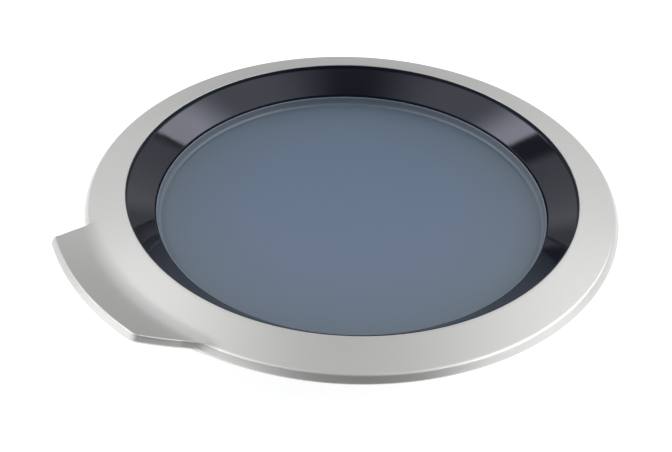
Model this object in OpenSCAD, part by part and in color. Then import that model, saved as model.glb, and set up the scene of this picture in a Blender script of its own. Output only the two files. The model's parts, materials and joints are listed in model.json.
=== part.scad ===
// Porthole door of a front-loading washing machine, lying on its back.
// +Z is the front of the door, the grip and latch are at -X, the hinge is at +X and +Y is up once it is installed.
// The origin is on the ring's axis, at the flat bottom of the glass bowl.

/* [Front ring] */
// Height of the ring's inner top edge above the bowl's bottom
ring_top = 128; // [126:1:130]
// Inner radius of the silver ring
ring_in = 200; // [199.9:0.1:200.1]
// Radius where the ring's sloping face turns into its bevel
ring_face_r = 231.84; // [231:0.1:232.5]
// Largest radius of the ring
ring_out = 236.18; // [235.5:0.1:236.8]
// Wall of the moulded ring
ring_wall = 2.6; // [2.2:0.1:2.8]

/* [Grip] */
// Radius where the grip's straight top would meet the ring's face
grip_crease_r = 232; // [231:0.5:233]
// Radius of the hollow round between the ring's face and the grip's top
grip_fillet = 28; // [20:1:32]
// Largest radius of the grip
grip_out = 266; // [264:0.1:266.5]
// Angle of the grip's lower corner from its middle, before it is rounded
grip_low_angle = 14.2; // [13.5:0.1:16]
// Angle at which the grip's lower end runs into the ring
grip_low_root = 23.1; // [22.4:0.1:23.6]
// Angle of the grip's upper corner from its middle
grip_high_angle = 16.6; // [15.5:0.1:17]
// Angle at which the grip's upper end runs into the ring
grip_high_root = 22.5; // [22:0.1:23.6]
// How far the grip's top edge stands above the ring's inner edge
grip_rise = 4.1; // [2:0.1:5]

/* [Bezel and pane] */
// Radius of the bezel's cone at its foot
bezel_foot_r = 176.93; // [176.5:0.01:177.2]
// Depth of the cone's foot below the ring's inner edge
bezel_foot_depth = 22.13; // [21:0.01:23]
// Inner radius of the pane's upright rim
pane_r = 174; // [173.5:0.1:174.2]
// Depth of the pane's face below the ring's inner edge
pane_depth = 32.2; // [31.8:0.1:32.6]

/* [Bowl] */
// Radius of the bowl's flange
bowl_flange_r = 172; // [171:0.5:172]
// Radius of the bowl's flat bottom
bowl_bottom_r = 108; // [100:1:112]
// Thickness of the glass
bowl_wall = 5; // [4:0.5:5]

/* [Hinge] */
// Distance of the hinge axis from the ring's axis
hinge_x = 216; // [216:0.1:216.2]
// Depth of the hinge axis below the ring's inner edge
hinge_depth = 28; // [27.9:0.1:28]
// Radius of the hinge pin
pin_r = 4; // [3.9:0.1:4]
// Distance between the bracket's fixing holes along X
fix_dx = 26; // [24:1:26]
// Distance between the bracket's fixing holes along Y
fix_dy = 56; // [52:1:58]
// Radius of the bracket's fixing holes
fix_r = 2.75; // [2.2:0.05:2.8]

/* [Latch] */
// Distance of the latch pin from the ring's axis
latch_x = 198; // [198:0.1:198.2]
// Depth of the latch pin below the ring's inner edge
latch_depth = 31; // [30.9:0.1:31]
// Radius of the latch pin
latch_pin_r = 3; // [2.9:0.1:3]

/* [Hidden] */
$fn = 180;

face_slope = 7.76 / 31.84; // fall of the ring's face for each millimetre outwards
T = ring_top;
face_z = function (r) T - face_slope * (r - ring_in);
under_z = function (r) face_z(r) - ring_wall * sqrt(1 + face_slope * face_slope);

frame_boss_r = 213;
frame_angles = [for (i = [0:7]) 22.5 + 45 * i];
floor_lo = T - 51.5; // back of the rear frame's floor
floor_hi = T - 48.5;
clamp_boss_r = 178;
clamp_angles = [for (i = [0:5]) 30 + 60 * i];
hz = T - hinge_depth;
lz = T - latch_depth;
lx = -latch_x;
pad_z = floor_lo + 15.5; // top of the pads that carry the hinge leaf and the latch housing
plate_hi = floor_lo - 1.5; // cabinet bracket's plate
plate_lo = plate_hi - 3;
fix_x = 184;

// A solid of revolution from [r, z] points.
module ring_of(points, fn = 180) { rotate_extrude($fn = fn) polygon(points); }
// Extrudes an XZ outline along Y, centred at y, and d thick.
module xz_plate(y, d) { translate([0, y + d / 2, 0]) rotate([90, 0, 0]) linear_extrude(height = d) children(); }
// A round bar along Y from y0 to y1.
module bar_y(x, z, r, y0, y1, fn = 48) { translate([x, y0, z]) rotate([-90, 0, 0]) cylinder(r = r, h = y1 - y0, $fn = fn); }
module box(lo, hi) { translate(lo) cube([hi[0] - lo[0], hi[1] - lo[1], hi[2] - lo[2]]); }

// Straight-sided link between two circles, each [x, y, r].
module link2d(a, b, fn = 48) {
    d = sqrt(pow(b[0] - a[0], 2) + pow(b[1] - a[1], 2));
    t = atan2(b[1] - a[1], b[0] - a[0]);
    k = acos((a[2] - b[2]) / d);
    translate([a[0], a[1]]) circle(r = a[2], $fn = fn);
    translate([b[0], b[1]]) circle(r = b[2], $fn = fn);
    polygon([
        [a[0] + a[2] * cos(t + k), a[1] + a[2] * sin(t + k)], [a[0] + a[2] * cos(t - k), a[1] + a[2] * sin(t - k)],
        [b[0] + b[2] * cos(t - k), b[1] + b[2] * sin(t - k)], [b[0] + b[2] * cos(t + k), b[1] + b[2] * sin(t + k)]
    ]);
}

// A round-headed screw along +Z: its head's seat is at z = 0 and its shank goes up.
module screw(head_r, head_h, shank_r, shank_l) {
    difference() {
        union() {
            translate([0, 0, -head_h]) cylinder(r = head_r, h = head_h, $fn = 32);
            cylinder(r = shank_r, h = shank_l, $fn = 24);
            translate([0, 0, shank_l]) cylinder(r1 = shank_r, r2 = shank_r * 0.35, h = shank_r, $fn = 24);
        }
        for (a = [0, 90]) rotate([0, 0, a]) translate([-head_r * 0.6, -0.45, -head_h - 1]) cube([head_r * 1.2, 0.9, 1 + head_h * 0.55]);
    }
}

// Plan of the grip, drawn in by d. It points at +X; the grip's modules turn it to -X.
function polar(r, a) = [r * cos(a), r * sin(a)];
// One end of the grip, drawn in by d, as [angle where the outer arc stops, points]: ha and ra are the angles of its
// corner and of its root on the ring, corner_r and root_r their rounds (a root_r of 0 leaves the root sharp).
function grip_end(d, ha, ra, corner_r, root_r, steps) =
    let (
        // the slanting side runs from its root on the ring to the corner on the outer arc
        root = polar(ring_out - 2, ra), corner = polar(grip_out, ha),
        u = (corner - root) / norm(corner - root), n = [u[1], -u[0]],
        // the corner's round: a circle tangent to the outer arc and to the side
        c = corner_r - d,
        rc = grip_out - corner_r,
        side_d = function (a) let (p = polar(rc, a) - root) p[0] * n[0] + p[1] * n[1],
        ac = search_angle(side_d, ha - 5, ha + 2, corner_r, 24),
        cc = polar(rc, ac),
        na = atan2(-n[1], -n[0]),
        root_in = root + n * d - u * 40,
        // the hollow round's centre is root_r outside both the ring's edge and the side line
        out_d = function (a) let (p = polar(ring_out + root_r, a) - root) p[0] * n[0] + p[1] * n[1],
        ar = search_angle(out_d, ra - 6, ra + 12, -root_r, 24),
        cr = polar(ring_out + root_r, ar),
        r0 = ar + 184, r1 = atan2(n[1], n[0]) + 360
    )
    [ac, concat(
        d > 0 || root_r == 0 ? [root_in] : concat([polar(ring_out - 20, ar)], [for (i = [0:steps]) let (a = r0 + (r1 - r0) * i / steps) cr + root_r * [cos(a), sin(a)]]),
        [for (i = [0:8]) let (a = na + (ac - na) * i / 8) cc + c * [cos(a), sin(a)]]
    )];
function grip_plan(d) =
    let (
        low = grip_end(d, grip_low_angle, grip_low_root, 13, 40, 8),
        high = grip_end(d, grip_high_angle, grip_high_root, 6, 0, 0),
        arc = [for (i = [1:15]) polar(grip_out - d, low[0] - (low[0] + high[0]) * i / 16)]
    )
    concat(low[1], arc, [for (i = [len(high[1]) - 1:-1:0]) [high[1][i][0], -high[1][i][1]]]);
// Halves the interval until f(a) = want; f falls as a grows.
search_angle = function (f, a, b, want, n) n == 0 ? (a + b) / 2 : let (m = (a + b) / 2) f(m) > want ? search_angle(f, m, b, want, n - 1) : search_angle(f, a, m, want, n - 1);

grip_top_r = grip_out - 4; // the top edge; below it the side flares out
grip_slope = (grip_rise + (T - face_z(grip_crease_r))) / (grip_top_r - grip_crease_r);
grip_z = function (r) face_z(grip_crease_r) + grip_slope * (r - grip_crease_r);
// the hollow round's arc, from the ring's face to the grip's straight top, as [r, z]
fillet_a0 = -atan(face_slope);
fillet_a1 = atan(grip_slope);
fillet_l = grip_fillet * tan((fillet_a1 - fillet_a0) / 2);
fillet_r0 = grip_crease_r - fillet_l * cos(fillet_a0);
fillet_c = [fillet_r0 - grip_fillet * sin(fillet_a0), face_z(fillet_r0) + grip_fillet * cos(fillet_a0)];
fillet_arc = [for (i = [1:8]) let (a = fillet_a0 + (fillet_a1 - fillet_a0) * i / 8) fillet_c + grip_fillet * [sin(a), -cos(a)]];
grip_skin = 2.75; // measured straight down
grip_side = 8.2; // height of the grip's edge

module outer_ring() {
    color([0.78, 0.78, 0.77]) difference() {
        union() {
            ring_of([[ring_in, T], [ring_face_r, face_z(ring_face_r)], [ring_out, T - 13.54], [229.4, T - 19.4], [227.7, T - 17.43], [232.64, T - 13.16], [230.32, under_z(230.32)], [ring_in, under_z(ring_in)]]);
            for (a = frame_angles) rotate([0, 0, a]) translate([frame_boss_r, 0, T - 28]) cylinder(r = 4.5, h = 23.4, $fn = 40);
            rotate([0, 0, 180]) difference() {
                intersection() {
                    ring_of(concat([[fillet_r0, face_z(fillet_r0) - 0.02]], fillet_arc, [[grip_top_r - 0.9, grip_z(grip_top_r - 0.9)], [grip_top_r + 0.3, grip_z(grip_top_r) - 0.45], [grip_out - 0.3, grip_z(grip_top_r) - 4.3], [grip_out, grip_z(grip_top_r) - 5.1], [grip_out - 0.5, grip_z(grip_top_r) - 5.8], [grip_out - 1.6, grip_z(grip_top_r) - grip_side + 0.3], [ring_out - 0.3, grip_z(ring_out) - grip_side], [ring_out - 3, grip_z(ring_out) - grip_side + 4.6], [fillet_r0, face_z(fillet_r0) - 1]]));
                    linear_extrude(height = T + 20) polygon(grip_plan(0));
                }
                intersection() {
                    ring_of([[ring_out + 1.1, grip_z(ring_out + 1.1) - grip_skin], [grip_top_r - 0.5, grip_z(grip_top_r - 0.5) - grip_skin], [grip_top_r + 0.2, grip_z(grip_top_r) - grip_side - 3], [ring_out + 1.1, grip_z(ring_out) - grip_side - 6]]);
                    linear_extrude(height = T + 20) polygon(grip_plan(2.5));
                }
            }
            grip_boss_places() cylinder(r = 3.2, h = 3.6, $fn = 32);
        }
        for (a = frame_angles) rotate([0, 0, a]) translate([frame_boss_r, 0, T - 29]) cylinder(r = 2, h = 19, $fn = 32);
        grip_boss_places() translate([0, 0, -0.5]) cylinder(r = 1.3, h = 4.6, $fn = 32);
    }
}

// Three places under the grip, each turned so that +Z is square to the grip's skin, with z = 0 at the backing's top.
grip_back_top = 3.2; // distance from the skin to the backing, straight down
module grip_boss_places() {
    for (a = [-10.5, 0, 10.5]) rotate([0, 0, 180 + a]) translate([250, 0, grip_z(250) - grip_skin - grip_back_top]) rotate([0, -atan(grip_slope), 0]) children();
}

module grip_backing() {
    color([0.2, 0.2, 0.21]) difference() {
        rotate([0, 0, 180]) intersection() {
            ring_of([
                [ring_out + 2.2, grip_z(ring_out + 2.2) - grip_skin - grip_back_top - 0.1],
                [grip_top_r - 0.9, grip_z(grip_top_r - 0.9) - grip_skin - grip_back_top - 0.1],
                [grip_top_r - 0.9, grip_z(grip_top_r - 0.9) - grip_skin - grip_back_top - 2.1],
                [ring_out + 2.2, grip_z(ring_out + 2.2) - grip_skin - grip_back_top - 2.1]
            ]);
            linear_extrude(height = T + 20) polygon(grip_plan(3.1));
        }
        grip_boss_places() translate([0, 0, -6]) cylinder(r = 1.5, h = 8, $fn = 32);
    }
}

module grip_screws() {
    color([0.6, 0.6, 0.62]) grip_boss_places() translate([0, 0, -2.2]) screw(2.6, 1.3, 1.25, 5);
}

module bezel_ring() {
    color([0.06, 0.065, 0.08]) {
        ring_of([
            [ring_in - 0.2, T - 0.4], [ring_in - 1, T - 0.4], [ring_in - 1, T - 4.2], [ring_in - 1.6, T - 4.5],
            [bezel_foot_r, T - bezel_foot_depth], [bezel_foot_r - 0.4, T - bezel_foot_depth - 0.6], [176.6, T - 33],
            [190, T - 33], [190, T - 30.4], [179, T - 30.4], [179.4, T - 23.5], [199.6, T - 6.9],
            [207, T - 6.9], [207, under_z(207) - 0.1], [ring_in - 0.2, under_z(ring_in) - 0.1]
        ]);
        difference() {
            for (a = [0:11]) rotate([0, 0, 15 + 30 * a]) translate([0, -1, 0]) xz_plate(0, 2) polygon([[179.3, T - 30.5], [189.5, T - 30.5], [189.5, T - 15.35], [179.3, T - 23.7]]);
        }
    }
}

module pane_gasket() {
    color([0.1, 0.1, 0.1]) ring_of([[178, T - 33.98], [189.4, T - 33.98], [189.4, T - 33.05], [178, T - 33.05]]);
}

// The tinted pane is a shallow tray: its rim stands up inside the bezel and its flange lies under the gasket.
module window_pane() {
    pz = T - pane_depth;
    color([0.42, 0.48, 0.56, 0.75]) ring_of(concat(
        [[0, pz - 3.4], [0, pz]],
        [for (i = [0:6]) [pane_r - 3 + 3 * sin(15 * i), pz + 3 - 3 * cos(15 * i)]],
        [[pane_r + 0.5, T - 24.9], [pane_r + 0.8, T - 24.3], [pane_r + 1.3, T - 24.1], [pane_r + 1.8, T - 24.3], [pane_r + 2, T - 24.9]],
        [[pane_r + 2.1, T - 34.1], [189.4, T - 34.1], [189.4, T - 37], [172, T - 37], [170.4, pz - 3.4]]
    ));
}

module rear_shell_envelope() {
    ring_of([[150, floor_lo], [200, floor_lo], [222, T - 29], [227.2, T - 19.7], [227.2, T - 15], [150, T - 15]]);
}
module rear_frame() {
    color([0.3, 0.31, 0.33]) difference() {
        union() {
            ring_of([[157.5, floor_lo], [200, floor_lo], [222, T - 29], [227.2, T - 19.7], [227.2, T - 15], [224.7, T - 15], [224.7, T - 19], [219.8, T - 27.7], [198.8, floor_hi], [157.5, floor_hi]]);
            // rib under the pane's edge
            ring_of([[184.5, floor_hi - 1], [187.3, floor_hi - 1], [187.3, T - 37.1], [184.5, T - 37.1]]);
            for (a = clamp_angles) rotate([0, 0, a]) translate([clamp_boss_r, 0, floor_hi - 1]) cylinder(r = 3.6, h = 7, $fn = 40);
            intersection() {
                rear_shell_envelope();
                union() {
                    for (a = frame_angles) rotate([0, 0, a]) translate([frame_boss_r, 0, floor_lo - 1]) cylinder(r = 7.6, h = 24.3, $fn = 48);
                    // pads for the hinge leaf and the latch housing
                    for (s = [-1, 1]) {
                        box([188.4, min(s * 24, s * 43), floor_lo], [207, max(s * 24, s * 43), pad_z]);
                        box([-208, min(s * 13, s * 29), floor_lo], [-189.7, max(s * 13, s * 29), pad_z]);
                    }
                }
            }
        }
        for (a = frame_angles) rotate([0, 0, a]) translate([frame_boss_r, 0, 0]) {
            translate([0, 0, floor_lo - 2]) cylinder(r = 5.2, h = 22.9, $fn = 48);
            cylinder(r = 2.2, h = T, $fn = 32);
        }
        for (a = clamp_angles) rotate([0, 0, a]) translate([clamp_boss_r, 0, floor_lo + 1.2]) cylinder(r = 1.85, h = 10, $fn = 32);
        // room for the bracket's arms and the leaf's ears
        box([188, -24, 0], [240, 24, T - 10]);
        // slot for the latch hook
        box([-204.5, -6, 0], [-188.4, 6, floor_hi + 3]);
        leaf_screw_places() translate([0, 0, -10]) cylinder(r = 1.85, h = 12, $fn = 32);
        latch_screw_places() translate([0, 0, -10]) cylinder(r = 1.85, h = 12, $fn = 32);
        buffer_places() translate([0, 0, -1]) cylinder(r = 2.6, h = 6, $fn = 32);
    }
}

module frame_screws() {
    color([0.62, 0.62, 0.64]) for (a = frame_angles) rotate([0, 0, a]) translate([frame_boss_r, 0, floor_lo + 20.85]) screw(3.9, 2.6, 1.95, 18);
}

// The bowl's wall is one smooth curve; t runs from the flange down to the bottom.
function curve3(p0, p1, p2, p3, t) = pow(1 - t, 3) * p0 + 3 * pow(1 - t, 2) * t * p1 + 3 * (1 - t) * t * t * p2 + pow(t, 3) * p3;
module glass_bowl() {
    w = bowl_wall;
    n = 18;
    top = T - 42.5;
    color([0.75, 0.85, 0.82, 0.35]) ring_of(concat(
        [for (i = [0:n]) curve3([156.2, top - 5.8], [152, 38], [146, 0], [bowl_bottom_r, 0], i / n)],
        [[0, 0], [0, w]],
        [for (i = [n:-1:0]) curve3([156.2 - w, top - 3], [152 - w, 38 + w * 0.3], [146 - w * 0.9, w], [bowl_bottom_r - 1, w], i / n)],
        [[156.2 - w + 0.9, top - 0.9], [156.2 - w + 3, top], [bowl_flange_r - 1.2, top], [bowl_flange_r - 0.35, top - 0.35], [bowl_flange_r, top - 1.2], [bowl_flange_r, top - 3.8], [bowl_flange_r - 0.35, top - 4.65], [bowl_flange_r - 1.2, top - 5], [157.2, top - 5]]
    ));
}

module bowl_gasket() {
    color([0.12, 0.12, 0.12]) ring_of([[158, floor_hi + 0.04], [173.9, floor_hi + 0.04], [173.9, T - 42.6], [172.2, T - 42.6], [172.2, T - 47.56], [158, T - 47.56]]);
}

module bowl_clamp_ring() {
    color([0.7, 0.71, 0.72]) difference() {
        ring_of([[163, T - 42.4], [182.4, T - 42.4], [182.4, T - 39], [163, T - 39]]);
        for (a = clamp_angles) rotate([0, 0, a]) translate([clamp_boss_r, 0, 0]) {
            translate([0, 0, T - 50]) cylinder(r = 2.1, h = 20, $fn = 32);
            translate([0, 0, T - 41.1]) cylinder(r = 3.6, h = 10, $fn = 32);
        }
    }
}

module clamp_screws() {
    color([0.62, 0.62, 0.64]) for (a = clamp_angles) rotate([0, 0, a]) translate([clamp_boss_r, 0, T - 41.05]) rotate([180, 0, 0]) screw(3.3, 1.9, 1.75, 6.3);
}

module leaf_screw_places() { for (s = [-1, 1], y = [29.5, 37.5]) translate([197.5, s * y, pad_z]) children(); }
module hinge_leaf() {
    color([0.66, 0.67, 0.69]) difference() {
        union() {
            for (s = [-1, 1]) {
                xz_plate(s * 17.25, 2.5) union() {
                    link2d([hinge_x, hz, 8], [204, pad_z + 9.5, 9.4]);
                    polygon([[190, pad_z + 0.05], [206, pad_z + 0.05], [209, pad_z + 2.5], [204, pad_z + 18.8], [190, pad_z + 15]]);
                }
                box([190, min(s * 16, s * 43), pad_z + 0.05], [206, max(s * 16, s * 43), pad_z + 2.55]);
            }
            box([190, -18, pad_z + 0.05], [192.5, 18, pad_z + 15]);
        }
        bar_y(hinge_x, hz, pin_r + 0.02, -30, 30);
        leaf_screw_places() translate([0, 0, -5]) cylinder(r = 2.1, h = 20, $fn = 32);
    }
}
module hinge_leaf_screws() {
    color([0.62, 0.62, 0.64]) leaf_screw_places() translate([0, 0, 2.6]) rotate([180, 0, 0]) screw(3.4, 2.3, 1.75, 9);
}

module hinge_pin() {
    color([0.72, 0.73, 0.75]) difference() {
        union() {
            bar_y(hinge_x, hz, pin_r, -21.6, 21.6);
            for (s = [-1, 1]) translate([hinge_x, s * 21.6, hz]) rotate([-90 * s, 0, 0]) cylinder(r1 = pin_r, r2 = pin_r - 0.8, h = 0.8, $fn = 48);
        }
        for (s = [-1, 1]) translate([hinge_x, s * 19.4, hz]) rotate([90, 0, 0]) rotate_extrude($fn = 48) translate([pin_r - 0.9, -0.65]) square([3, 1.3]);
    }
}
module pin_clips() {
    color([0.55, 0.56, 0.58]) for (s = [-1, 1]) difference() {
        translate([hinge_x, s * 19.4, hz]) rotate([90, 0, 0]) difference() {
            cylinder(r = 6.6, h = 1.1, center = true, $fn = 48);
            cylinder(r = pin_r - 0.85, h = 3, center = true, $fn = 48);
        }
        box([hinge_x - 2.4, s * 19.4 - 2, hz], [hinge_x + 2.4, s * 19.4 + 2, hz + 12]);
    }
}

module hinge_bracket() {
    color([0.66, 0.67, 0.69]) difference() {
        union() {
            box([164, -36, plate_lo], [209, 36, plate_hi]);
            for (s = [-1, 1]) xz_plate(s * 11.5, 3) union() {
                link2d([hinge_x, hz, 8.5], [199, plate_lo + 9, 9]);
                polygon([[190, plate_lo], [209, plate_lo], [209, plate_hi], [207.6, plate_lo + 9], [199, plate_lo + 9], [191.5, plate_lo + 14], [190, plate_lo + 9]]);
            }
        }
        bar_y(hinge_x, hz, 5.52, -20, 20);
        for (x = [-1, 1], y = [-1, 1]) translate([fix_x + x * fix_dx / 2, y * fix_dy / 2, 0]) {
            cylinder(r = fix_r, h = T, $fn = 48);
            translate([0, 0, plate_hi - 1.4]) cylinder(r1 = fix_r, r2 = fix_r + 2.3, h = 1.41, $fn = 48);
        }
        for (s = [-1, 1]) translate([164, s * 36, plate_lo - 1]) rotate([0, 0, 45]) cube([8, 8, 12], center = true);
    }
}
module hinge_bushes() {
    color([0.9, 0.89, 0.84]) for (s = [-1, 1]) difference() {
        union() {
            bar_y(hinge_x, hz, 5.5, min(s * 9.4, s * 13.05), max(s * 9.4, s * 13.05));
            bar_y(hinge_x, hz, 7.6, min(s * 13.03, s * 15.6), max(s * 13.03, s * 15.6));
        }
        bar_y(hinge_x, hz, pin_r + 0.05, -30, 30);
    }
}

module latch_screw_places() { for (s = [-1, 1]) translate([lx, s * 21.5, pad_z]) children(); }
module latch_housing() {
    color([0.66, 0.67, 0.69]) difference() {
        union() {
            for (s = [-1, 1]) {
                box([lx - 8, min(s * 10, s * 12.3), pad_z + 0.05], [lx + 8, max(s * 10, s * 12.3), lz + 10.5]);
                box([lx - 8, min(s * 10, s * 28), pad_z + 0.05], [lx + 8, max(s * 10, s * 28), pad_z + 2.35]);
            }
            box([lx - 8, -11, lz + 8.2], [lx + 8, 11, lz + 10.5]);
        }
        bar_y(lx, lz, latch_pin_r + 0.02, -30, 30);
        bar_y(lx, lz, 4.2, 12.3, 14.1); // room for the pin's head
        latch_screw_places() translate([0, 0, -5]) cylinder(r = 2.1, h = 20, $fn = 32);
    }
}
module latch_screws() {
    color([0.62, 0.62, 0.64]) latch_screw_places() translate([0, 0, 2.4]) rotate([180, 0, 0]) screw(3.4, 2.2, 1.75, 9);
}
module latch_pin() {
    color([0.72, 0.73, 0.75]) {
        bar_y(lx, lz, latch_pin_r, -13.4, 12.4);
        bar_y(lx, lz, 3.9, 12.35, 13.7);
    }
}
// Torsion spring: a coil round the pin between the hook and one ear, one leg up to the housing, one leg beside the hook.
spring_wire = 0.55;
spring_r = 4.4;
module latch_spring() {
    turns = 3.5;
    per = 20;
    n = round(turns * per);
    y0 = 5.2;
    y1 = 9.2;
    // the coil's centre line starts above the pin and ends below it
    coil = [for (i = [0:n]) let (a = 90 + 360 * i / per, y = y0 + (y1 - y0) * i / n) [lx + spring_r * cos(a), y, lz + spring_r * sin(a)]];
    path = concat([[lx + 7, y0, lz + spring_r]], coil, [[lx - 6, y1, lz - spring_r]]);
    sides = 8;
    frames = [for (i = [0:len(path) - 1])
        let (a = path[max(i - 1, 0)], b = path[min(i + 1, len(path) - 1)], t = (b - a) / norm(b - a), u0 = cross(t, [0, 1, 0]), u = u0 / norm(u0), v = cross(t, u))
        [path[i], u, v]];
    points = [for (f = frames, k = [0:sides - 1]) f[0] + spring_wire * (cos(360 * k / sides) * f[1] + sin(360 * k / sides) * f[2])];
    m = len(path);
    color([0.5, 0.5, 0.52]) polyhedron(points = points, faces = concat(
        [[for (k = [0:sides - 1]) k]],
        [for (i = [0:m - 2], k = [0:sides - 1]) [i * sides + k, (i + 1) * sides + k, (i + 1) * sides + (k + 1) % sides, i * sides + (k + 1) % sides]],
        [[for (k = [sides - 1:-1:0]) (m - 1) * sides + k]]
    ), convexity = 6);
}
module latch_hook() {
    color([0.72, 0.72, 0.73]) difference() {
        xz_plate(0, 8) union() {
            translate([lx, lz]) circle(r = 7, $fn = 64);
            polygon([[lx - 3.5, lz], [lx - 3.5, T - 63.5], [lx - 12.5, T - 64.5], [lx - 13.2, T - 65.6], [lx - 3.2, T - 75.4], [lx + 0.6, T - 75.4], [lx + 3.5, T - 72], [lx + 4.6, lz]]);
        }
        bar_y(lx, lz, latch_pin_r + 0.05, -10, 10);
    }
}

module buffer_places() { for (a = [48, 132, 228, 312]) rotate([0, 0, a]) translate([192, 0, floor_lo]) children(); }
module door_buffers() {
    color([0.13, 0.13, 0.13]) buffer_places() {
        translate([0, 0, -3.2]) cylinder(r = 6.5, h = 3.15, $fn = 48);
        translate([0, 0, -4.4]) cylinder(r1 = 5.2, r2 = 6.5, h = 1.2, $fn = 48);
        cylinder(r = 2.5, h = 3.2, center = true, $fn = 32);
        translate([0, 0, -0.1]) cylinder(r = 2.5, h = 3.2, $fn = 32);
        translate([0, 0, 3.06]) cylinder(r1 = 3.4, r2 = 1.8, h = 2.6, $fn = 32);
    }
}

outer_ring();
grip_backing();
grip_screws();
bezel_ring();
pane_gasket();
window_pane();
rear_frame();
frame_screws();
glass_bowl();
bowl_gasket();
bowl_clamp_ring();
clamp_screws();
hinge_leaf();
hinge_leaf_screws();
hinge_pin();
pin_clips();
hinge_bracket();
hinge_bushes();
latch_housing();
latch_screws();
latch_pin();
latch_spring();
latch_hook();
door_buffers();
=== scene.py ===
import json
import math

import bmesh
import bpy
from mathutils import Matrix, Vector


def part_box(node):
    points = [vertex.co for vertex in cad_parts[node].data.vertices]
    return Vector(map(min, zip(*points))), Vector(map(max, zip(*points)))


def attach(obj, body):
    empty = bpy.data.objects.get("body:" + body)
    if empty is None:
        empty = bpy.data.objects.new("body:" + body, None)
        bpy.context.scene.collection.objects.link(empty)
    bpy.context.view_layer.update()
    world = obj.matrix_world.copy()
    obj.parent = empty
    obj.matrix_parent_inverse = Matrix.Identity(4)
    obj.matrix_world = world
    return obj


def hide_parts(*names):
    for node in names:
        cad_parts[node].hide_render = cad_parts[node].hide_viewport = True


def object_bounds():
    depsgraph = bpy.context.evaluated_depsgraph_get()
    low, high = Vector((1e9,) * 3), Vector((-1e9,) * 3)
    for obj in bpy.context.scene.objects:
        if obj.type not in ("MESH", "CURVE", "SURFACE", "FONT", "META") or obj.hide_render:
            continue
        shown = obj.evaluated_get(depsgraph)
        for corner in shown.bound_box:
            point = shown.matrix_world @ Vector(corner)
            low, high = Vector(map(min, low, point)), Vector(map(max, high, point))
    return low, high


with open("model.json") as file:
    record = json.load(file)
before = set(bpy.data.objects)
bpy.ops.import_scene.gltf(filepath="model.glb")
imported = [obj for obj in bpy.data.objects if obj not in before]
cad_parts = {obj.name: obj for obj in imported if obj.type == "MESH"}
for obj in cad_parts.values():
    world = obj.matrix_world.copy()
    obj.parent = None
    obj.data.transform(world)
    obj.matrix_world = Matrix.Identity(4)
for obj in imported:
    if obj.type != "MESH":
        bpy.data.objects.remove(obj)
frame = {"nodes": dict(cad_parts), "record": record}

NODES = frame["nodes"]
CAD_LO, CAD_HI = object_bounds()
MM = 0.001

# ---------------------------------------------------------------- sizes (mm): T and the ring's and grip's outer radii read from the imported frame, the rest given
bez_lo, bez_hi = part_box("bezel_ring")
ring_lo, ring_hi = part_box("outer_ring")
pane_lo, pane_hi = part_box("window_pane")
bowl_lo, bowl_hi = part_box("glass_bowl")
T = round(bez_hi.z * 1000 + 0.4, 2)            # the silver ring's inner top edge
GRIP_OUT = round(-ring_lo.x * 1000, 2)         # the grip's outer radius
RING_OUT = round(ring_hi.x * 1000, 2)          # the ring's outer radius
RING_IN = 200.0
FACE_R, FACE_Z = 231.84, -7.76                 # where the ring's face turns into its bevel, z below T
EDGE_Z = -13.54
SLOPE = 7.76 / 31.84
GRIP_RISE = 4.1                                # the grip's top edge above the ring's inner edge


def face_z(r):
    return -SLOPE * (r - RING_IN)


# ---------------------------------------------------------------- mesh helpers
def new_object(name, verts, faces, smooth_angle=35.0):
    me = bpy.data.meshes.new(name)
    me.from_pydata(verts, [], faces)
    me.validate(clean_customdata=False)
    bm = bmesh.new()
    bm.from_mesh(me)
    bmesh.ops.recalc_face_normals(bm, faces=bm.faces)
    bm.to_mesh(me)
    bm.free()
    me.shade_smooth()
    me.set_sharp_from_angle(angle=math.radians(smooth_angle))
    ob = bpy.data.objects.new(name, me)
    bpy.context.scene.collection.objects.link(ob)
    return ob


def rounded(points, radii, steps=4):
    """A closed [r, z] outline with its corners rounded. radii[i] is the round at points[i], 0 for none."""
    out = []
    n = len(points)
    for i, (p, rad) in enumerate(zip(points, radii)):
        if rad <= 0:
            out.append(p)
            continue
        a, b = points[i - 1], points[(i + 1) % n]
        ua = (a[0] - p[0], a[1] - p[1])
        ub = (b[0] - p[0], b[1] - p[1])
        la, lb = math.hypot(*ua), math.hypot(*ub)
        ua, ub = (ua[0] / la, ua[1] / la), (ub[0] / lb, ub[1] / lb)
        cosv = max(-1.0, min(1.0, ua[0] * ub[0] + ua[1] * ub[1]))
        half = math.acos(cosv) / 2
        if abs(math.pi / 2 - half) < 1e-3:
            out.append(p)
            continue
        cut = min(rad / math.tan(half), 0.48 * la, 0.48 * lb)
        rad = cut * math.tan(half)
        bis = (ua[0] + ub[0], ua[1] + ub[1])
        lbis = math.hypot(*bis)
        c = (p[0] + bis[0] / lbis * rad / math.sin(half), p[1] + bis[1] / lbis * rad / math.sin(half))
        s = (p[0] + ua[0] * cut, p[1] + ua[1] * cut)
        e = (p[0] + ub[0] * cut, p[1] + ub[1] * cut)
        a0 = math.atan2(s[1] - c[1], s[0] - c[0])
        a1 = math.atan2(e[1] - c[1], e[0] - c[0])
        d = (a1 - a0 + math.pi) % (2 * math.pi) - math.pi
        for k in range(steps + 1):
            t = a0 + d * k / steps
            out.append((c[0] + rad * math.cos(t), c[1] + rad * math.sin(t)))
    return out


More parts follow.
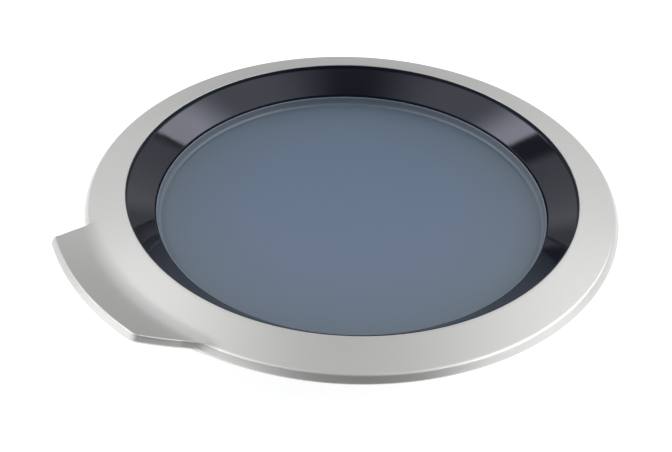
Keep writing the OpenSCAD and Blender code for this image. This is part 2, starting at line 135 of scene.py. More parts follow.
def revolve(name, outline, n=512, smooth_angle=35.0):
    """Turns a closed [r, z] outline (mm, z from the origin) round Z. Points with r = 0 become one vertex."""
    verts, faces, rows = [], [], []
    for r, z in outline:
        if r <= 1e-6:
            rows.append([len(verts)])
            verts.append((0, 0, z * MM))
        else:
            rows.append(list(range(len(verts), len(verts) + n)))
            for i in range(n):
                a = 2 * math.pi * i / n
                verts.append((r * math.cos(a) * MM, r * math.sin(a) * MM, z * MM))
    m = len(rows)
    for j in range(m):
        a, b = rows[j], rows[(j + 1) % m]
        if len(a) == 1 and len(b) == 1:
            continue
        for i in range(n):
            k = (i + 1) % n
            if len(a) == 1:
                faces.append((a[0], b[i], b[k]))
            elif len(b) == 1:
                faces.append((a[i], b[0], a[k]))
            else:
                faces.append((a[i], b[i], b[k], a[k]))
    return new_object(name, verts, faces, smooth_angle)


def fine(node, bevel=0.3, angle=32.0, dissolve=0.6, segments=2):
    """A finished copy of a CAD node: flat faces joined up, its edges broken, and smooth round faces."""
    src = NODES[node]
    me = src.data.copy()
    me.name = node + "_finished"
    me.materials.clear()
    bm = bmesh.new()
    bm.from_mesh(me)
    bmesh.ops.remove_doubles(bm, verts=bm.verts, dist=2e-6)
    bmesh.ops.dissolve_degenerate(bm, edges=bm.edges, dist=2e-6)
    bmesh.ops.dissolve_limit(bm, angle_limit=math.radians(dissolve), verts=bm.verts, edges=bm.edges)
    bmesh.ops.recalc_face_normals(bm, faces=bm.faces)
    bm.to_mesh(me)
    bm.free()
    me.shade_smooth()
    me.set_sharp_from_angle(angle=math.radians(angle))
    ob = bpy.data.objects.new(node + "_finished", me)
    bpy.context.scene.collection.objects.link(ob)
    if bevel:
        b = ob.modifiers.new("edge", "BEVEL")
        b.width = bevel * MM
        b.segments = segments
        b.limit_method = "ANGLE"
        b.angle_limit = math.radians(angle)
        b.use_clamp_overlap = True
        b.harden_normals = True
    return ob


# ---------------------------------------------------------------- the silver ring with its grip
# the grip's lower and upper ends: angle of the corner, angle of the root, round of the corner, round of the root
LOW_END, HIGH_END = (14.2, 23.1, 13.0, 40.0), (16.6, 22.5, 6.0, 1.5)
CREASE_R, FILLET = 232.0, 28.0
TOP_END = GRIP_OUT - 4.0
GSLOPE = (GRIP_RISE - face_z(CREASE_R)) / (TOP_END - CREASE_R)
FA0, FA1 = -math.atan(SLOPE), math.atan(GSLOPE)
FL = FILLET * math.tan((FA1 - FA0) / 2)
FR0 = CREASE_R - FL * math.cos(FA0)
FC = (FR0 - FILLET * math.sin(FA0), face_z(FR0) + FILLET * math.cos(FA0))
FR1 = FC[0] + FILLET * math.sin(FA1)
BEVEL_IN, BEVEL_DROP = 4.0, 5.1                # the flared side of the grip: how far out and how far down it goes


def grip_line(r):
    return face_z(CREASE_R) + GSLOPE * (r - CREASE_R)


def grip_top(r):
    """Height of the grip's top at radius r, with the hollow round where it leaves the ring's face."""
    if r <= FR0:
        return face_z(r)
    if r >= FR1:
        return grip_line(r)
    return FC[1] - math.sqrt(FILLET ** 2 - (r - FC[0]) ** 2)


def pol(r, a):
    return (r * math.cos(math.radians(a)), r * math.sin(math.radians(a)))


def plan_outline(GRIP_HALF, ROOT_ANGLE, GRIP_CORNER, ROOT_ROUND):
    """The grip's half outline in plan, grip along +x, from its outer arc round to the ring. Returns a function of the angle."""
    root, corner = pol(RING_OUT - 2.0, ROOT_ANGLE), pol(GRIP_OUT, GRIP_HALF)
    d = math.hypot(corner[0] - root[0], corner[1] - root[1])
    u = ((corner[0] - root[0]) / d, (corner[1] - root[1]) / d)
    nrm = (u[1], -u[0])                       # towards the grip's middle
    if nrm[1] > 0:
        nrm = (-nrm[0], -nrm[1])
    rc = GRIP_OUT - GRIP_CORNER

    def off(a):
        p = pol(rc, a)
        return (p[0] - root[0]) * nrm[0] + (p[1] - root[1]) * nrm[1]

    a, b = GRIP_HALF - 8, GRIP_HALF + 3
    for _ in range(50):
        m = (a + b) / 2
        if off(m) > GRIP_CORNER:
            a = m
        else:
            b = m
    ac = (a + b) / 2
    cc = pol(rc, ac)
    # the hollow round at the root: a circle outside the ring, tangent to the ring's edge and to the side
    def off2(ang):
        p = pol(RING_OUT + ROOT_ROUND, ang)
        return -((p[0] - root[0]) * nrm[0] + (p[1] - root[1]) * nrm[1])

    a, b = ROOT_ANGLE - 6, ROOT_ANGLE + 12
    for _ in range(50):
        m = (a + b) / 2
        if off2(m) < ROOT_ROUND:
            a = m
        else:
            b = m
    ar = (a + b) / 2
    cr = pol(RING_OUT + ROOT_ROUND, ar)
    # dense polyline, then looked up by angle
    pts = [pol(GRIP_OUT, ac * i / 60) for i in range(61)]
    a0 = math.radians(ac)
    a1 = math.atan2(-nrm[1], -nrm[0])
    pts += [(cc[0] + GRIP_CORNER * math.cos(a0 + (a1 - a0) * i / 24), cc[1] + GRIP_CORNER * math.sin(a0 + (a1 - a0) * i / 24)) for i in range(1, 25)]
    s0 = math.atan2(nrm[1], nrm[0])
    s1 = math.radians(ar) + math.pi
    while s1 - s0 > math.pi:
        s1 -= 2 * math.pi
    while s1 - s0 < -math.pi:
        s1 += 2 * math.pi
    pts += [(cr[0] + ROOT_ROUND * math.cos(s0 + (s1 - s0) * i / 30), cr[1] + ROOT_ROUND * math.sin(s0 + (s1 - s0) * i / 30)) for i in range(0, 31)]
    tab = [(math.degrees(math.atan2(p[1], p[0])), math.hypot(*p)) for p in pts]
    keep = [tab[0]]
    for t in tab[1:]:
        if t[0] > keep[-1][0] + 1e-6:
            keep.append(t)

    def radius(delta):
        x = abs(delta)
        if x >= keep[-1][0]:
            return RING_OUT
        lo, hi = 0, len(keep) - 1
        while hi - lo > 1:
            m = (lo + hi) // 2
            if keep[m][0] <= x:
                lo = m
            else:
                hi = m
        (x0, r0), (x1, r1) = keep[lo], keep[hi]
        return max(RING_OUT, r0 + (r1 - r0) * (x - x0) / (x1 - x0))

    return radius, ac, ar


low_radius = plan_outline(*LOW_END)[0]
high_radius = plan_outline(*HIGH_END)[0]


def plan_radius(d):
    return low_radius(d) if d >= 0 else high_radius(d)


def smooth(x, a, b):
    t = max(0.0, min(1.0, (x - a) / (b - a)))
    return t * t * (3 - 2 * t)


def arc_points(p0, pc, p1, n):
    """n + 1 points on the rounded corner pc, from p0 on one side to p1 on the other (a quadratic curve)."""
    out = []
    for i in range(n + 1):
        t = i / n
        out.append(((1 - t) ** 2 * p0[0] + 2 * t * (1 - t) * pc[0] + t * t * p1[0], (1 - t) ** 2 * p0[1] + 2 * t * (1 - t) * pc[1] + t * t * p1[1]))
    return out


WALL = 2.6


def under(r):
    return face_z(r) - WALL * math.hypot(1, SLOPE)


def inner_part():
    pts = [(RING_IN, under(RING_IN)), (RING_IN, -1.0)]
    pts += arc_points((RING_IN, -0.75), (RING_IN, 0.0), (RING_IN + 0.7, face_z(RING_IN + 0.7)), 4)
    pts += [(r, face_z(r)) for r in (203.0, 207.0, 211.0, 215.0, 219.0, FR0)]
    return pts


NB = 22


def ring_profile():
    """The plain ring's section from the face outwards and back under."""
    e = 1.5
    pts = []
    r1 = FACE_R - e
    for i in range(1, NB + 1):
        r = FR0 + (r1 - FR0) * i / NB
        pts.append((r, face_z(r)))
    bl = math.hypot(RING_OUT - FACE_R, EDGE_Z - FACE_Z)
    ub = ((RING_OUT - FACE_R) / bl, (EDGE_Z - FACE_Z) / bl)
    pts += arc_points((r1, face_z(r1)), (FACE_R, FACE_Z), (FACE_R + ub[0] * e, FACE_Z + ub[1] * e), 6)[1:]
    s, t = e, bl - 0.9
    pts += [(FACE_R + ub[0] * (s + (t - s) * k / 4), FACE_Z + ub[1] * (s + (t - s) * k / 4)) for k in (1, 2, 3, 4)]
    un = (229.4 - RING_OUT, -19.4 - EDGE_Z)
    ul = math.hypot(*un)
    un = (un[0] / ul, un[1] / ul)
    pts += arc_points(pts[-1], (RING_OUT, EDGE_Z), (RING_OUT + un[0] * 0.9, EDGE_Z + un[1] * 0.9), 4)[1:]
    for k in (1.6, 2.2, 2.8, 3.4, 4.0):
        pts.append((RING_OUT + un[0] * k, EDGE_Z + un[1] * k))
    return pts


def grip_profile(R, k, bevel_in):
    """The grip's section where its outline is at radius R. k lengthens radial steps where the outline runs aslant."""
    pts = []
    rt = R - bevel_in * k                     # the top edge
    e = 0.9 * k
    r1 = rt - e
    for i in range(1, NB + 1):
        t = i / NB
        r = FR0 + (r1 - FR0) * t
        pts.append((r, grip_top(r)))
    zt = grip_top(rt)
    zb = zt - BEVEL_DROP
    a, b = 1.1 / BEVEL_DROP, 1 - 0.9 / BEVEL_DROP
    at = lambda t: (rt + (R - rt) * t, zt - BEVEL_DROP * t)
    pts += arc_points((r1, grip_top(r1)), (rt, zt), at(a), 6)[1:]
    pts += [at(a + (b - a) * j / 4) for j in (1, 2, 3, 4)]
    pts += arc_points(at(b), (R, zb), (R - 1.1 * k, zb - 0.9), 4)[1:]
    ri = max(R - 2.8 * k, 237.6)
    rj = min(238.2, ri)
    rm = (ri + rj) / 2
    pts += [(ri + 0.001, grip_top(ri) - 8.2 + 0.2), (ri, grip_top(ri) - 2.75), (rm, grip_top(rm) - 2.75), (rj, grip_top(rj) - 2.75), (rj - 0.5, -13.9)]
    return pts


def back_part():
    return [(229.4, -19.4), (227.7, -17.43), (232.64, -13.16), (230.32, under(230.32)), (215.0, under(215.0))]


def silver_ring():
    angles = []
    d = -180.0
    while d < 180.0 - 1e-6:
        angles.append(d)
        d += 0.15 if -29.0 <= d < 29.0 - 1e-9 else 1.0
    inner, plain, back = inner_part(), ring_profile(), back_part()
    verts, faces = [], []
    m = None
    for d in angles:
        w = 1.0 - (smooth(d, 20.5, 26.5) if d > 0 else smooth(-d, 20.4, 23.2))
        if w > 0:
            R = plan_radius(d)
            turn = (plan_radius(d + 0.1) - plan_radius(d - 0.1)) / math.radians(0.2) / R
            g = grip_profile(R, min(1.6, math.hypot(1, turn)), BEVEL_IN - 1.0 * smooth(d, 12.0, 15.5))
            mid = [((1 - w) * a[0] + w * b[0], (1 - w) * a[1] + w * b[1]) for a, b in zip(plain, g)]
        else:
            mid = plain
        prof = inner + mid + back
        m = len(prof)
        a = math.radians(180.0 + d)
        ca, sa = math.cos(a), math.sin(a)
        verts += [(r * ca * MM, r * sa * MM, (T + z) * MM) for r, z in prof]
    n = len(angles)
    for i in range(n):
        k = (i + 1) % n
        for j in range(m):
            l = (j + 1) % m
            faces.append((i * m + j, i * m + l, k * m + l, k * m + j))
    return new_object("silver_ring", verts, faces, 40.0)


# ---------------------------------------------------------------- bezel, pane, bowl and their rings
def bezel():
    o = RING_IN
    pts = [
        (o - 0.2, T + under(o) - 0.1), (o - 0.2, T - 0.4), (o - 1.0, T - 0.4), (o - 1.05, T - 4.05), (o - 1.75, T - 4.5),
        (176.93, T - 22.13), (176.53, T - 22.73), (176.6, T - 33), (190, T - 33), (190, T - 30.4), (179, T - 30.4), (179.4, T - 23.5),
        (199.6, T - 6.9), (207, T - 6.9), (207, T + under(207) - 0.1)]
    rad = [0, 0.35, 0.35, 0.35, 0.5, 0.5, 0.35, 0.3, 0.3, 0.3, 0.3, 0.8, 0.8, 0.3, 0]
    ob = revolve("gloss_bezel", rounded(pts, rad, 4), 540, 40.0)
    # the twelve stiffening ribs behind the cone
    bm = bmesh.new()
    bm.from_mesh(ob.data)
    out = [(179.3, -30.5), (189.5, -30.5), (189.5, -15.35), (179.3, -23.7)]
    for k in range(12):
        a = math.radians(15 + 30 * k)
        rings = []
        for y in (-1.0, 1.0):
            ring = []
            for r, z in out:
                ring.append(bm.verts.new(((r * math.cos(a) - y * math.sin(a)) * MM, (r * math.sin(a) + y * math.cos(a)) * MM, (T + z) * MM)))
            rings.append(ring)
        bm.faces.new(rings[0])
        bm.faces.new(list(reversed(rings[1])))
        for i in range(4):
            j = (i + 1) % 4
            bm.faces.new((rings[0][j], rings[0][i], rings[1][i], rings[1][j]))
    bmesh.ops.recalc_face_normals(bm, faces=bm.faces)
    bm.to_mesh(ob.data)
    bm.free()
    ob.data.shade_smooth()
    ob.data.set_sharp_from_angle(angle=math.radians(40))
    return ob


def pane():
    pr, pz = 174.0, T - 32.2
    pts = [(0, pz - 3.4), (0, pz)]
    pts += [(r, pz) for r in (40.0, 80.0, 120.0, 150.0, 165.0)]
    pts += [(pr - 3 + 3 * math.sin(math.radians(9 * i)), pz + 3 - 3 * math.cos(math.radians(9 * i))) for i in range(0, 11)]
    pts += [(pr + 0.5, T - 25.0)]
    cx, cz, rr = pr + 1.25, T - 24.85, 0.75
    pts += [(cx - rr * math.cos(math.radians(15 * i)), cz + rr * math.sin(math.radians(15 * i))) for i in range(0, 13)]
    pts += [(pr + 2.1, T - 34.1), (189.4, T - 34.1), (189.4, T - 37), (172, T - 37), (170.4, pz - 3.4), (120.0, pz - 3.4)]
    return revolve("tinted_pane", pts, 540, 30.0)


def bowl():
    w, top = 5.0, T - 42.5
    fr, br = round(bowl_hi.x * 1000, 2), 108.0

    def c3(p0, p1, p2, p3, t):
        return tuple((1 - t) ** 3 * a + 3 * (1 - t) ** 2 * t * b + 3 * (1 - t) * t * t * c + t ** 3 * d for a, b, c, d in zip(p0, p1, p2, p3))

    n = 48
    pts = [c3((156.2, top - 5.8), (152, 38), (146, 0), (br, 0), i / n) for i in range(n + 1)]
    pts += [(70, 0), (0, 0), (0, w), (70, w)]
    pts += [c3((156.2 - w, top - 3), (152 - w, 38 + w * 0.3), (146 - w * 0.9, w), (br - 1, w), i / n) for i in range(n, -1, -1)]
    pts += [(151.35, top - 1.9), (151.9, top - 1.0), (152.9, top - 0.3), (154.2, top), (fr - 1.4, top), (fr - 0.6, top - 0.2), (fr - 0.15, top - 0.7), (fr, top - 1.4), (fr, top - 3.6), (fr - 0.15, top - 4.3), (fr - 0.6, top - 4.8), (fr - 1.4, top - 5), (157.9, top - 5), (157.0, top - 5.15), (156.4, top - 5.45)]
    return revolve("glass_bowl_body", pts, 360, 40.0)


def flat_ring(name, pts, rad, n=360):
    return revolve(name, rounded(pts, [rad] * len(pts), 3), n, 35.0)


# ---------------------------------------------------------------- materials
def material(name):
    m = bpy.data.materials.new(name)
    m.use_nodes = True
    nt = m.node_tree
    nt.nodes.clear()
    out = nt.nodes.new("ShaderNodeOutputMaterial")
    bsdf = nt.nodes.new("ShaderNodeBsdfPrincipled")
    nt.links.new(bsdf.outputs[0], out.inputs[0])
    return m, nt, bsdf


def coords(nt, scale=(1, 1, 1)):
    tc = nt.nodes.new("ShaderNodeTexCoord")
    mp = nt.nodes.new("ShaderNodeMapping")
    mp.inputs["Scale"].default_value = scale
    nt.links.new(tc.outputs["Object"], mp.inputs[0])
    return mp.outputs[0]


def noise(nt, vec, scale, detail=3.0, rough=0.5):
    n = nt.nodes.new("ShaderNodeTexNoise")
    n.inputs["Scale"].default_value = scale
    n.inputs["Detail"].default_value = detail
    n.inputs["Roughness"].default_value = rough
    nt.links.new(vec, n.inputs["Vector"])
    return n.outputs["Fac"]


def ramp(nt, fac, stops):
    r = nt.nodes.new("ShaderNodeValToRGB")
    els = r.color_ramp.elements
    while len(els) > 1:
        els.remove(els[-1])
    els[0].position = stops[0][0]
    els[0].color = (*stops[0][1], 1)
    for p, c in stops[1:]:
        e = els.new(p)
        e.color = (*c, 1)
    nt.links.new(fac, r.inputs[0])
    return r.outputs[0]


def remap(nt, fac, lo, hi, a=0.3, b=0.7):
    m = nt.nodes.new("ShaderNodeMapRange")
    m.inputs["From Min"].default_value = a
    m.inputs["From Max"].default_value = b
    m.inputs["To Min"].default_value = lo
    m.inputs["To Max"].default_value = hi
    nt.links.new(fac, m.inputs[0])
    return m.outputs[0]


def bump(nt, bsdf, height, strength, distance):
    b = nt.nodes.new("ShaderNodeBump")
    b.inputs["Strength"].default_value = strength
    b.inputs["Distance"].default_value = distance
    nt.links.new(height, b.inputs["Height"])
    nt.links.new(b.outputs[0], bsdf.inputs["Normal"])
    return b


def tone(c, k):
    return tuple(x * k for x in c)


def silver_paint():
    m, nt, b = material("silver_paint_finish")
    b.inputs["Metallic"].default_value = 0.92
    v = coords(nt)
    flake = noise(nt, v, 2600.0, 2.0, 0.6)
    cloud = noise(nt, v, 9.0, 3.0, 0.5)
    base = (0.690, 0.690, 0.680)
    c1 = ramp(nt, flake, [(0.3, tone(base, 0.955)), (0.5, base), (0.7, tone(base, 1.045))])
    nt.links.new(c1, b.inputs["Base Color"])
    nt.links.new(remap(nt, cloud, 0.385, 0.41), b.inputs["Roughness"])
    bump(nt, b, flake, 0.05, 0.00003)
    return m


def gloss_black():
    m, nt, b = material("gloss_black_finish")
    b.inputs["IOR"].default_value = 1.5
    b.inputs["Specular Tint"].default_value = (0.80, 0.82, 1.0, 1)
    v = coords(nt)
    soft = noise(nt, v, 14.0, 2.0, 0.5)
    c = ramp(nt, soft, [(0.3, (0.0060, 0.0075, 0.0120)), (0.7, (0.0078, 0.0095, 0.0150))])
    nt.links.new(c, b.inputs["Base Color"])
    nt.links.new(remap(nt, noise(nt, v, 60.0, 3.0, 0.6), 0.04, 0.075), b.inputs["Roughness"])
    bump(nt, b, noise(nt, v, 90.0, 1.0, 0.4), 0.035, 0.0004)
    return m


def pane_tint_and_painted_light(radial_mm=174.0):
    m, nt, b = material("tinted_pane_painted_light")
    b.inputs["IOR"].default_value = 1.5
    v = coords(nt, (1 / (radial_mm * MM), 1 / (radial_mm * MM), 0))
    ln = nt.nodes.new("ShaderNodeVectorMath")
    ln.operation = "LENGTH"
    nt.links.new(v, ln.inputs[0])
    # the colour ramp paints light and shade by radius: a painted bluish reflection in the middle, painted shade
    # darkening the band towards the rim, and the upright rim wall lightened as painted light
    c = ramp(nt, ln.outputs["Value"], [
        (0.0, PANE_TINT_AND_REFLECTION), (0.58, PANE_TINT_AND_REFLECTION), (0.84, PANE_MID_SHADE), (0.96, PANE_EDGE_SHADE), (0.985, PANE_EDGE_SHADE), (0.998, PANE_RIM_LIT), (1.0, PANE_RIM_LIT)])
    mix = nt.nodes.new("ShaderNodeMix")
    mix.data_type = "RGBA"
    mix.blend_type = "MULTIPLY"
    mix.inputs[0].default_value = 1.0
    nt.links.new(c, mix.inputs[6])
    haze = ramp(nt, noise(nt, coords(nt), 5.0, 2.0, 0.5), [(0.3, (0.975, 0.975, 0.98)), (0.7, (1, 1, 1))])
    nt.links.new(haze, mix.inputs[7])
    nt.links.new(mix.outputs[2], b.inputs["Base Color"])
    nt.links.new(remap(nt, noise(nt, coords(nt), 40.0, 2.0, 0.5), 0.19, 0.22), b.inputs["Roughness"])
    return m


# centre colour: the pane's own tint with a painted bluish reflection of the room behind added in
PANE_TINT_AND_REFLECTION = (0.110, 0.157, 0.236)
# middle and edge colours: the tint darkened as painted shade where the bezel and ring block the reflection
PANE_MID_SHADE = (0.106, 0.150, 0.208)
PANE_EDGE_SHADE = (0.102, 0.140, 0.184)
# rim colour: lightened as painted light on the upright rim wall, which gets little light
PANE_RIM_LIT = (0.170, 0.205, 0.255)


def plastic(name, base, rough=0.5, grain=900.0, depth=0.00006, strength=0.35, coat=0.0):
    m, nt, b = material(name)
    v = coords(nt)
    big = noise(nt, v, 12.0, 3.0, 0.5)
    c = ramp(nt, big, [(0.3, tone(base, 0.93)), (0.7, tone(base, 1.07))])
    nt.links.new(c, b.inputs["Base Color"])
    g = noise(nt, v, grain, 2.0, 0.5)
    nt.links.new(remap(nt, g, rough - 0.04, rough + 0.05), b.inputs["Roughness"])
    if coat:
        b.inputs["Coat Weight"].default_value = coat
        b.inputs["Coat Roughness"].default_value = 0.12
    bump(nt, b, g, strength, depth)
    return m


def metal(name, base, rough=0.35, streak=(1, 1, 1), scale=160.0, vary=0.10, strength=0.12):
    m, nt, b = material(name)
    b.inputs["Metallic"].default_value = 1.0
    v = coords(nt, streak)
    big = noise(nt, coords(nt), 38.0, 4.0, 0.6)
    c = ramp(nt, big, [(0.3, tone(base, 1 - vary)), (0.5, base), (0.7, tuple(min(1, x * (1 + vary * 0.6)) for x in base))])
    nt.links.new(c, b.inputs["Base Color"])
    g = noise(nt, v, scale, 3.0, 0.6)
    nt.links.new(remap(nt, g, rough - 0.08, rough + 0.10), b.inputs["Roughness"])
    bump(nt, b, g, strength, 0.00004)
    return m


def spangle(name, base, rough=0.36):
    """Zinc plated sheet: faint crystal patches and rolling marks."""
    m, nt, b = material(name)
    b.inputs["Metallic"].default_value = 1.0
    v = coords(nt)
    vo = nt.nodes.new("ShaderNodeTexVoronoi")
    vo.inputs["Scale"].default_value = 420.0
    nt.links.new(v, vo.inputs["Vector"])
    sep = nt.nodes.new("ShaderNodeSeparateColor")
    nt.links.new(vo.outputs["Color"], sep.inputs[0])
    c = ramp(nt, sep.outputs[0], [(0.0, tone(base, 0.90)), (1.0, tuple(min(1, x * 1.06) for x in base))])
    nt.links.new(c, b.inputs["Base Color"])
    nt.links.new(remap(nt, sep.outputs[1], rough - 0.05, rough + 0.08, 0.0, 1.0), b.inputs["Roughness"])
    bump(nt, b, noise(nt, coords(nt, (1, 12, 1)), 120.0, 2.0, 0.5), 0.10, 0.00003)
    return m


def rubber(name, base, rough=0.62):
    return plastic(name, base, rough, 1500.0, 0.00004, 0.4)


def clear_glass():
    m, nt, b = material("bowl_glass_finish")
    b.inputs["Transmission Weight"].default_value = 1.0
    b.inputs["IOR"].default_value = 1.5
    v = coords(nt)
    c = ramp(nt, noise(nt, v, 6.0, 2.0, 0.5), [(0.3, (0.80, 0.895, 0.865)), (0.7, (0.83, 0.915, 0.89))])
    nt.links.new(c, b.inputs["Base Color"])
    nt.links.new(remap(nt, noise(nt, v, 30.0, 2.0, 0.5), 0.0, 0.02), b.inputs["Roughness"])
    bump(nt, b, noise(nt, v, 11.0, 1.0, 0.4), 0.06, 0.002)
    return m


MAT = {
    "silver_paint": silver_paint(),
    "gloss_black": gloss_black(),
    "tinted_pane": pane_tint_and_painted_light(),
    "bowl_glass": clear_glass(),
    "dark_soft_plastic": plastic("grip_backing_finish", (0.030, 0.031, 0.034), 0.55, 700.0, 0.00012, 0.5),
    "grey_plastic": plastic("rear_frame_finish", (0.115, 0.122, 0.130), 0.48, 800.0, 0.00009, 0.45),
    "rubber_seal": rubber("rubber_finish", (0.016, 0.016, 0.017), 0.6),
    "zinc_screw": metal("screw_finish", (0.60, 0.60, 0.61), 0.30, (1, 1, 1), 300.0, 0.12, 0.1),
    "zinc_sheet": spangle("zinc_sheet_finish", (0.60, 0.61, 0.63)),
    "pin_steel": metal("pin_finish", (0.66, 0.67, 0.69), 0.24, (1, 60, 1), 90.0, 0.06, 0.12),
    "spring_steel": metal("spring_finish", (0.36, 0.36, 0.38), 0.32, (1, 1, 1), 400.0, 0.12, 0.1),
    "nylon": plastic("nylon_finish", (0.70, 0.68, 0.62), 0.42, 900.0, 0.00003, 0.25),
    "cast_zinc": metal("cast_zinc_finish", (0.52, 0.52, 0.54), 0.42, (1, 1, 1), 420.0, 0.12, 0.35),
}
SLOT = {s["node"]: s["material_slot"] for s in frame["record"]["subparts"]}
BODY = {n: b for b, ns in frame["record"]["behaviour"]["bodies"].items() for n in ns}


def finish_piece(ob, node):
    s = SLOT[node]
    ob.data.materials.clear()
    ob.data.materials.append(MAT[s])
    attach(ob, BODY[node])
    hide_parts(node)
    return ob


finish_piece(silver_ring(), "outer_ring")
finish_piece(bezel(), "bezel_ring")
finish_piece(pane(), "window_pane")
finish_piece(bowl(), "glass_bowl")
finish_piece(flat_ring("pane_gasket_ring", [(178, T - 33.98), (189.4, T - 33.98), (189.4, T - 33.05), (178, T - 33.05)], 0.25), "pane_gasket")
for name, bev in (
        ("rear_frame", 0.45), ("grip_backing", 0.4), ("grip_screws", 0.15), ("frame_screws", 0.2), ("bowl_gasket", 0.3), ("bowl_clamp_ring", 0.3),
        ("clamp_screws", 0.2), ("hinge_leaf", 0.35), ("hinge_leaf_screws", 0.2), ("hinge_pin", 0.2), ("pin_clips", 0.12), ("hinge_bracket", 0.4),
        ("hinge_bushes", 0.25), ("latch_housing", 0.3), ("latch_screws", 0.2), ("latch_pin", 0.25), ("latch_spring", 0.0), ("latch_hook", 0.5), ("door_buffers", 0.4)):
    finish_piece(fine(name, bev), name)

# ---------------------------------------------------------------- floor, light and camera
floor_z = CAD_LO.z - 0.0004
me = bpy.data.meshes.new("floor")
bm = bmesh.new()
bmesh.ops.create_grid(bm, x_segments=8, y_segments=8, size=6.0)
bm.to_mesh(me)
bm.free()
floor = bpy.data.objects.new("floor", me)
floor.location = (0, 0, floor_z)
bpy.context.scene.collection.objects.link(floor)
fm, fnt, fb = material("pale_floor")
fv = coords(fnt)
fnt.links.new(ramp(fnt, noise(fnt, fv, 3.0, 2.0, 0.5), [(0.3, (0.34, 0.34, 0.34)), (0.7, (0.36, 0.36, 0.36))]), fb.inputs["Base Color"])
fb.inputs["Roughness"].default_value = 0.9
fb.inputs["Emission Color"].default_value = (1, 1, 1, 1)
fb.inputs["Emission Strength"].default_value = 0.9
fb.inputs["Specular IOR Level"].default_value = 0.2
me.materials.append(fm)


class Field:
    """Small sums on world shader values."""

    def __init__(self, nt):
        self.nt = nt

    def op(self, kind, a, b=None):
        n = self.nt.nodes.new("ShaderNodeMath")
        n.operation = kind
        for i, x in enumerate((a, b)):
            if x is None:
                continue
            if isinstance(x, (int, float)):
                n.inputs[i].default_value = x
            else:
                self.nt.links.new(x, n.inputs[i])
        return n.outputs[0]

    def dot(self, vec, d):
        n = self.nt.nodes.new("ShaderNodeVectorMath")
        n.operation = "DOT_PRODUCT"
        self.nt.links.new(vec, n.inputs[0])
        n.inputs[1].default_value = d
        return n.outputs["Value"]

    def step(self, x, a, b, to0=0.0, to1=1.0):
        """Goes smoothly from to0 at a to to1 at b."""
        n = self.nt.nodes.new("ShaderNodeMapRange")
        n.interpolation_type = "SMOOTHSTEP"
        if a < b:
            n.inputs["From Min"].default_value, n.inputs["From Max"].default_value = a, b
            n.inputs["To Min"].default_value, n.inputs["To Max"].default_value = to0, to1
        else:
            n.inputs["From Min"].default_value, n.inputs["From Max"].default_value = b, a
            n.inputs["To Min"].default_value, n.inputs["To Max"].default_value = to1, to0
        self.nt.links.new(x, n.inputs[0])
        return n.outputs[0]

    def mul(self, *xs):
        out = xs[0]
        for x in xs[1:]:
            out = self.op("MULTIPLY", out, x)
        return out

    def add(self, *xs):
        out = xs[0]
        for x in xs[1:]:
            out = self.op("ADD", out, x)
        return out


world = bpy.data.worlds.new("studio")
bpy.context.scene.world = world
world.use_nodes = True
wt = world.node_tree
wt.nodes.clear()
w_out = wt.nodes.new("ShaderNodeOutputWorld")
w_bg = wt.nodes.new("ShaderNodeBackground")
w_cam = wt.nodes.new("ShaderNodeBackground")
w_mix = wt.nodes.new("ShaderNodeMixShader")
w_path = wt.nodes.new("ShaderNodeLightPath")
w_tc = wt.nodes.new("ShaderNodeTexCoord")
w_cam.inputs[0].default_value = (1, 1, 1, 1)
w_cam.inputs[1].default_value = 1.0
wt.links.new(w_path.outputs["Is Camera Ray"], w_mix.inputs[0])
wt.links.new(w_cam.outputs[0], w_mix.inputs[2])
wt.links.new(w_mix.outputs[0], w_out.inputs[0])
f = Field(wt)
gen = w_tc.outputs["Generated"]
S = f.dot(gen, (0.7881, -0.6150, 0.0))
C = f.dot(gen, (-0.6306, -0.7761, 0.0))
Z = f.dot(gen, (0.0, 0.0, 1.0))
NS = f.op("MULTIPLY", S, -1.0)

# right-hand soft box: a bright lower edge that fades towards the top
right = f.mul(f.add(f.mul(f.step(S, 0.05, 0.50), f.step(C, -0.42, -0.22, 0.42, 1.0), 1.30), f.mul(f.step(Z, 0.80, 0.64), f.step(S, 0.56, 0.68), 3.8)), f.step(Z, 0.545, 0.565), f.step(C, 0.70, 0.40), f.step(S, 0.86, 0.72, 0.12, 1.0))
# left-hand soft box
left = f.mul(f.add(f.mul(f.step(NS, 0.05, 0.50), f.step(C, -0.60, -0.35, 0.60, 1.0), 1.28), f.mul(f.step(Z, 0.80, 0.68), f.step(NS, 0.50, 0.64), 3.7)), f.step(Z, 0.625, 0.65), f.step(C, 0.70, 0.40), f.step(NS, 0.84, 0.70, 0.12, 1.0))
# the room behind the object, above the horizon
back = f.mul(f.step(C, -0.5, -0.78), f.step(Z, 0.53, 0.66), 1.15)
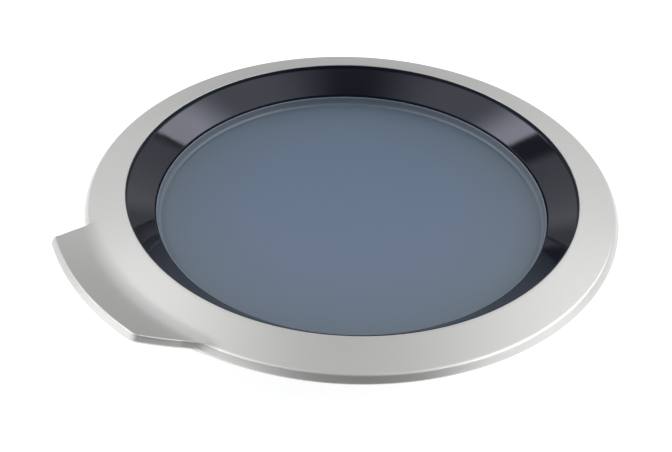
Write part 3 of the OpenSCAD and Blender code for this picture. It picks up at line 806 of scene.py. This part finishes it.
# low walls at each side and behind, and the pale surroundings near the horizon
AS = f.op("ABSOLUTE", S)
low = f.mul(f.step(Z, 0.56, 0.50), f.step(C, 0.35, 0.0), f.step(Z, 0.08, 0.20, 0.35, 1.0), f.add(0.22, f.mul(f.step(AS, 0.12, 0.42), 0.5)))
# two low soft boxes on the camera's side
camr = f.mul(f.step(C, -0.25, 0.10), f.step(S, 0.45, 0.72), f.step(Z, 0.50, 0.30), f.step(S, 0.96, 0.84, 0.74, 1.0), 1.22)
caml = f.mul(f.step(C, -0.25, 0.10), f.step(NS, 0.30, 0.56), f.step(Z, 0.50, 0.30), 1.25)
total = f.add(f.step(C, 0.6, 0.2, 0.02, 0.12), f.mul(f.step(Z, 0.60, 0.95), f.step(C, 0.6, 0.2), 0.12), right, left, low, camr, caml)
wt.links.new(total, w_bg.inputs[1])
w_bg.inputs[0].default_value = (1, 1, 1, 1)
w_back = wt.nodes.new("ShaderNodeBackground")
w_sum = wt.nodes.new("ShaderNodeAddShader")
wt.links.new(back, w_back.inputs[1])
w_back.inputs[0].default_value = (1.0, 1.0, 1.02, 1)
wt.links.new(w_bg.outputs[0], w_sum.inputs[0])
wt.links.new(w_back.outputs[0], w_sum.inputs[1])
wt.links.new(w_sum.outputs[0], w_mix.inputs[1])

cam_data = bpy.data.cameras.new("camera")
cam = bpy.data.objects.new("camera", cam_data)
bpy.context.scene.collection.objects.link(cam)
Rv, Uv, Fv = Vector((0.78812, -0.61504, 0.024375)), Vector((0.36966, 0.50461, 0.78021)), Vector((0.49216, 0.60589, -0.62504))
mw = Matrix.Identity(4)
for i in range(3):
    mw[i][0], mw[i][1], mw[i][2] = Rv[i], Uv[i], -Fv[i]
mw[0][3], mw[1][3], mw[2][3] = -467.79 * MM, -554.53 * MM, (523.85 + T) * MM
cam.matrix_world = mw
cam_data.sensor_width = 36.0
cam_data.lens = 53.571
cam_data.clip_start = 0.01
cam_data.clip_end = 50.0
bpy.context.scene.camera = cam
bpy.context.scene.view_settings.view_transform = "Standard"
